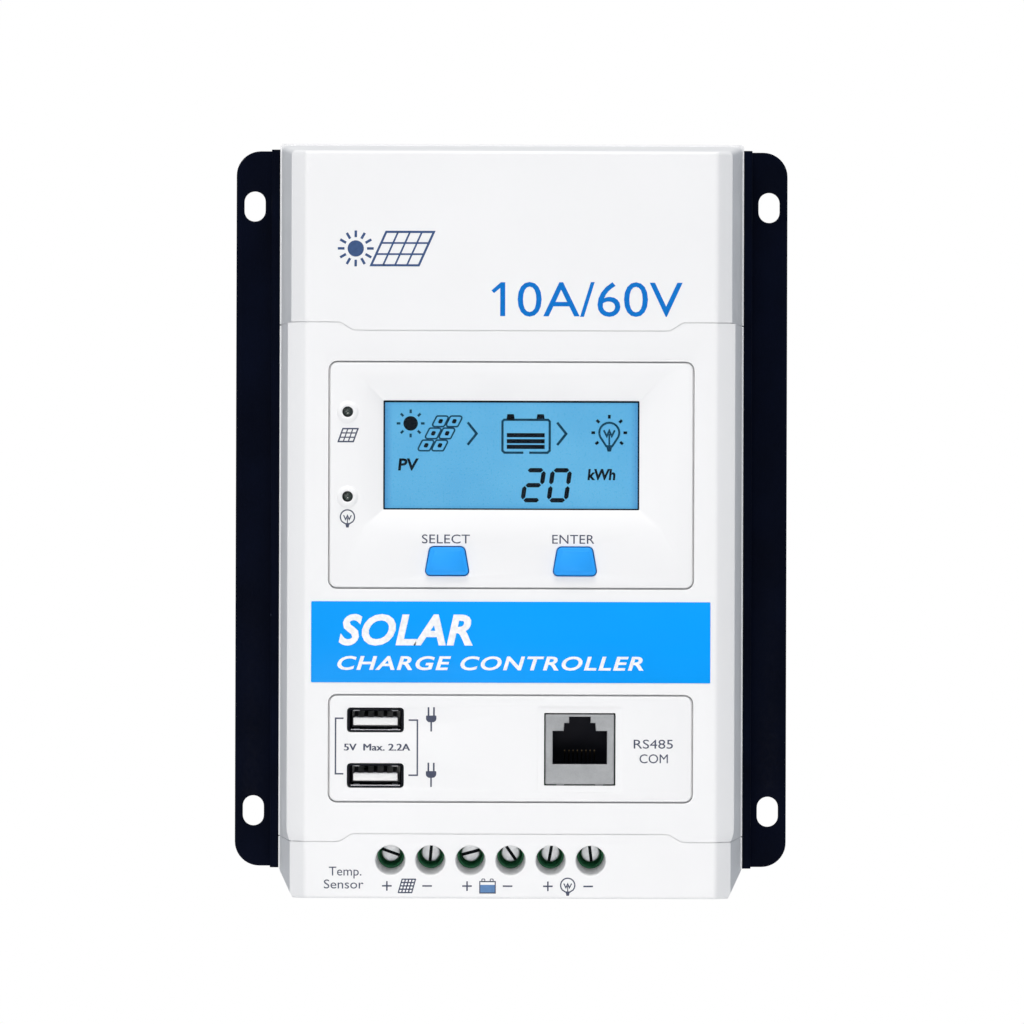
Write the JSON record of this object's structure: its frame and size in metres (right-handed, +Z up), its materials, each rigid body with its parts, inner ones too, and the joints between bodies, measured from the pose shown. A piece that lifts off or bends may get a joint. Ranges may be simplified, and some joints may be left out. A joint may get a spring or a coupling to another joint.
{
  "type": "solar charge controller",
  "caption": "Wall-mounted solar charge controller with a finned flanged heat sink, plug-in display and interface modules, push buttons and screw terminals.",
  "frame": {"origin": "centre of the wall face, which is the centre of the four mounting slots, on the wall plane", "axes": "+Z up, +Y into the wall (the front faces -Y), +X to the right as seen from the front"},
  "size_m": [0.135, 0.0473, 0.1822],
  "materials": {
    "navy_aluminium": "satin, dark navy paint",
    "case_white": "satin moulded",
    "label_blue": "printed film",
    "button_blue": "satin moulded",
    "terminal_green": "moulded",
    "plated_steel": "nickel plated",
    "black_plastic": "moulded",
    "white_plastic": "moulded",
    "board_green": "solder mask",
    "lcd_glass": "lit liquid crystal panel",
    "clear_window": "clear",
    "led_lens": "smoked lens",
    "ferrite": "wound toroid",
    "capacitor_sleeve": "heat shrink sleeve",
    "silicone_pad": "soft pad"
  },
  "bodies": {
    "base": {"heat_sink": "navy_aluminium", "upper_cover": "case_white", "front_fascia": "case_white", "terminal_cover": "case_white", "banner_label": "label_blue", "main_board": "board_green", "thermal_pad": "silicone_pad", "power_inductor": "ferrite", "capacitor_1": "capacitor_sleeve", "capacitor_2": "capacitor_sleeve", "power_transistor_1": "black_plastic", "power_transistor_2": "black_plastic", "display_header": "black_plastic", "interface_header": "black_plastic", "temperature_sensor_port": "terminal_green", "case_screw_upper_left": "plated_steel", "case_screw_upper_right": "plated_steel", "case_screw_lower_left": "plated_steel", "case_screw_lower_right": "plated_steel", "board_screw_top_left": "plated_steel", "board_screw_top_right": "plated_steel", "board_screw_bottom_left": "plated_steel", "board_screw_bottom_right": "plated_steel", "terminal_block_1": "terminal_green", "terminal_block_2": "terminal_green", "terminal_block_3": "terminal_green"},
    "display_module": {"display_bezel": "case_white", "lcd_window": "clear_window", "lcd_panel": "lcd_glass", "light_guide": "white_plastic", "display_board": "board_green", "display_rear_cover": "case_white", "display_plug": "black_plastic", "led_pv": "led_lens", "led_load": "led_lens", "select_switch": "black_plastic", "enter_switch": "black_plastic"},
    "interface_module": {"interface_panel": "case_white", "usb_shell_upper": "plated_steel", "usb_shell_lower": "plated_steel", "usb_tongue_upper": "white_plastic", "usb_tongue_lower": "white_plastic", "jack_shield": "plated_steel", "jack_insert": "black_plastic", "interface_board": "board_green", "interface_plug": "black_plastic"},
    "select_button": {"select_button": "button_blue"},
    "enter_button": {"enter_button": "button_blue"},
    "terminal_screw_1": {"terminal_screw_1": "plated_steel"},
    "clamp_cage_1": {"clamp_cage_1": "plated_steel"},
    "terminal_screw_2": {"terminal_screw_2": "plated_steel"},
    "clamp_cage_2": {"clamp_cage_2": "plated_steel"},
    "terminal_screw_3": {"terminal_screw_3": "plated_steel"},
    "clamp_cage_3": {"clamp_cage_3": "plated_steel"},
    "terminal_screw_4": {"terminal_screw_4": "plated_steel"},
    "clamp_cage_4": {"clamp_cage_4": "plated_steel"},
    "terminal_screw_5": {"terminal_screw_5": "plated_steel"},
    "clamp_cage_5": {"clamp_cage_5": "plated_steel"},
    "terminal_screw_6": {"terminal_screw_6": "plated_steel"},
    "clamp_cage_6": {"clamp_cage_6": "plated_steel"}
  },
  "joints": [
    {"name": "display_module_slide", "type": "slide", "parent": "base", "child": "display_module", "axis": [0, -1, 0], "range_m": [0, 0.025]},
    {"name": "interface_module_slide", "type": "slide", "parent": "base", "child": "interface_module", "axis": [0, -1, 0], "range_m": [0, 0.025]},
    {"name": "select_button_press", "type": "slide", "parent": "display_module", "child": "select_button", "axis": [0, 1, 0], "range_m": [0, 0.0006], "stiffness_N_per_m": 1500, "springref_m": -0.0003},
    {"name": "enter_button_press", "type": "slide", "parent": "display_module", "child": "enter_button", "axis": [0, 1, 0], "range_m": [0, 0.0006], "stiffness_N_per_m": 1500, "springref_m": -0.0003},
    {"name": "terminal_screw_1_turn", "type": "hinge", "parent": "base", "child": "terminal_screw_1", "pos_m": [-0.0287, -0.0346, -0.0827], "axis": [0, 1, 0], "range_deg": [0, 2160]},
    {"name": "clamp_cage_1_rise", "type": "slide", "parent": "base", "child": "clamp_cage_1", "axis": [0, -1, 0], "range_m": [0, 0.003]},
    {"name": "terminal_screw_2_turn", "type": "hinge", "parent": "base", "child": "terminal_screw_2", "pos_m": [-0.0191, -0.0346, -0.0827], "axis": [0, 1, 0], "range_deg": [0, 2160]},
    {"name": "clamp_cage_2_rise", "type": "slide", "parent": "base", "child": "clamp_cage_2", "axis": [0, -1, 0], "range_m": [0, 0.003]},
    {"name": "terminal_screw_3_turn", "type": "hinge", "parent": "base", "child": "terminal_screw_3", "pos_m": [-0.0095, -0.0346, -0.0827], "axis": [0, 1, 0], "range_deg": [0, 2160]},
    {"name": "clamp_cage_3_rise", "type": "slide", "parent": "base", "child": "clamp_cage_3", "axis": [0, -1, 0], "range_m": [0, 0.003]},
    {"name": "terminal_screw_4_turn", "type": "hinge", "parent": "base", "child": "terminal_screw_4", "pos_m": [0.0001, -0.0346, -0.0827], "axis": [0, 1, 0], "range_deg": [0, 2160]},
    {"name": "clamp_cage_4_rise", "type": "slide", "parent": "base", "child": "clamp_cage_4", "axis": [0, -1, 0], "range_m": [0, 0.003]},
    {"name": "terminal_screw_5_turn", "type": "hinge", "parent": "base", "child": "terminal_screw_5", "pos_m": [0.0097, -0.0346, -0.0827], "axis": [0, 1, 0], "range_deg": [0, 2160]},
    {"name": "clamp_cage_5_rise", "type": "slide", "parent": "base", "child": "clamp_cage_5", "axis": [0, -1, 0], "range_m": [0, 0.003]},
    {"name": "terminal_screw_6_turn", "type": "hinge", "parent": "base", "child": "terminal_screw_6", "pos_m": [0.0193, -0.0346, -0.0827], "axis": [0, 1, 0], "range_deg": [0, 2160]},
    {"name": "clamp_cage_6_rise", "type": "slide", "parent": "base", "child": "clamp_cage_6", "axis": [0, -1, 0], "range_m": [0, 0.003]}
  ],
  "couplings": [
    {"joint": "terminal_screw_1_turn", "follows": "clamp_cage_1_rise", "rad_per_m": 12566},
    {"joint": "terminal_screw_2_turn", "follows": "clamp_cage_2_rise", "rad_per_m": 12566},
    {"joint": "terminal_screw_3_turn", "follows": "clamp_cage_3_rise", "rad_per_m": 12566},
    {"joint": "terminal_screw_4_turn", "follows": "clamp_cage_4_rise", "rad_per_m": 12566},
    {"joint": "terminal_screw_5_turn", "follows": "clamp_cage_5_rise", "rad_per_m": 12566},
    {"joint": "terminal_screw_6_turn", "follows": "clamp_cage_6_rise", "rad_per_m": 12566}
  ]
}
